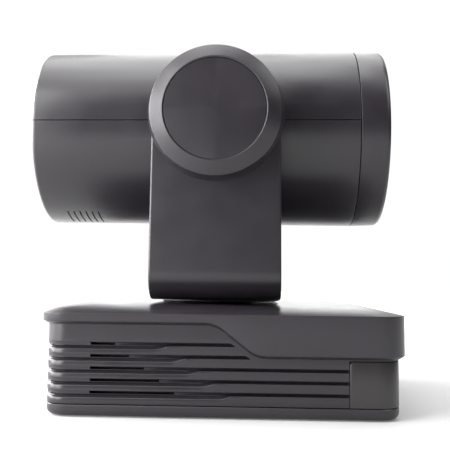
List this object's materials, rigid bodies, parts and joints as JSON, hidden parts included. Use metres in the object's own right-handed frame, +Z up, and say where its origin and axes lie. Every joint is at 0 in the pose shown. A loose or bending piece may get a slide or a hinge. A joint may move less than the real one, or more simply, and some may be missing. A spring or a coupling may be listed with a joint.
{
  "type": "ptz camera",
  "caption": "Desktop pan-tilt-zoom camera: drum head tilting in a U-shaped yoke that pans on a square base with rear sockets.",
  "frame": {"origin": "on the supporting surface under the feet, below the middle of the overall box", "axes": "+X out of the lens, +Y to the camera's own left, +Z up"},
  "size_m": [0.1646, 0.15, 0.1711],
  "materials": {
    "shell_plastic": "satin grey moulding with a fine spark-eroded grain",
    "dark_plastic": "matt charcoal moulding",
    "gloss_black": "polished black",
    "smoked_acrylic": "semi-gloss smoked infrared filter",
    "rubber": "matt",
    "steel": "satin",
    "aluminium": "satin",
    "brass": "turned",
    "circuit_board": "solder-resist green",
    "lens_glass": "coated glass"
  },
  "bodies": {
    "base": {"base_plate": "shell_plastic", "foot_front_left": "rubber", "foot_front_right": "rubber", "foot_rear_left": "rubber", "foot_rear_right": "rubber", "base_screw_front_left": "steel", "base_screw_front_right": "steel", "base_screw_rear_left": "steel", "base_screw_rear_right": "steel", "tripod_bush": "brass", "base_housing": "shell_plastic", "base_lid": "shell_plastic", "ir_window": "smoked_acrylic", "rear_panel": "dark_plastic", "main_board": "circuit_board", "dc_jack": "steel", "lan_port": "steel", "hdmi_port": "steel", "usb_port": "steel", "audio_jack": "steel", "serial_port": "steel", "ir_board": "circuit_board", "ir_receiver_left": "gloss_black", "ir_receiver_right": "gloss_black", "status_led": "lens_glass", "base_chassis": "aluminium", "pan_bearing": "steel", "pan_motor": "aluminium", "pan_belt": "rubber"},
    "pan_drive": {"pan_motor_pulley": "aluminium"},
    "yoke": {"turntable": "dark_plastic", "pan_pulley": "aluminium", "yoke_shell": "shell_plastic", "yoke_liner": "shell_plastic", "yoke_frame": "steel", "left_tilt_axle": "steel", "right_tilt_axle": "steel", "left_hub_ring": "shell_plastic", "right_hub_ring": "shell_plastic", "left_hub_cap": "shell_plastic", "right_hub_cap": "shell_plastic", "tilt_pulley": "aluminium"},
    "head": {"head_upper_shell": "shell_plastic", "head_lower_shell": "shell_plastic", "front_ring": "shell_plastic", "front_bezel": "gloss_black", "lens_ring": "dark_plastic", "front_lens": "lens_glass", "head_chassis": "aluminium", "left_tilt_bearing": "steel", "right_tilt_bearing": "steel", "lens_barrel": "dark_plastic", "sensor_board": "circuit_board", "video_board": "circuit_board", "tilt_motor": "aluminium", "tilt_belt": "rubber"},
    "tilt_drive": {"tilt_motor_pulley": "aluminium"},
    "zoom_carriage": {"zoom_group": "dark_plastic"},
    "focus_carriage": {"focus_group": "dark_plastic"}
  },
  "joints": [
    {"name": "pan", "type": "hinge", "parent": "base", "child": "yoke", "pos_m": [0.0036, 0, 0.0462], "axis": [0, 0, 1], "range_deg": [-170, 170]},
    {"name": "tilt", "type": "hinge", "parent": "yoke", "child": "head", "pos_m": [0.0036, 0, 0.12745], "axis": [0, -1, 0], "range_deg": [-30, 30]},
    {"name": "pan_motor_spin", "type": "hinge", "parent": "base", "child": "pan_drive", "pos_m": [0.0456, 0, 0.0342], "axis": [0, 0, 1], "range_deg": [-680, 680]},
    {"name": "tilt_motor_spin", "type": "hinge", "parent": "head", "child": "tilt_drive", "pos_m": [-0.034, -0.029, 0.12745], "axis": [0, 1, 0], "range_deg": [-90, 90]},
    {"name": "zoom_travel", "type": "slide", "parent": "head", "child": "zoom_carriage", "axis": [1, 0, 0], "range_m": [0, 0.02]},
    {"name": "focus_travel", "type": "slide", "parent": "head", "child": "focus_carriage", "axis": [1, 0, 0], "range_m": [0, 0.008]}
  ],
  "couplings": [
    {"joint": "pan_motor_spin", "follows": "pan", "ratio": 4},
    {"joint": "tilt_motor_spin", "follows": "tilt", "ratio": 3}
  ]
}
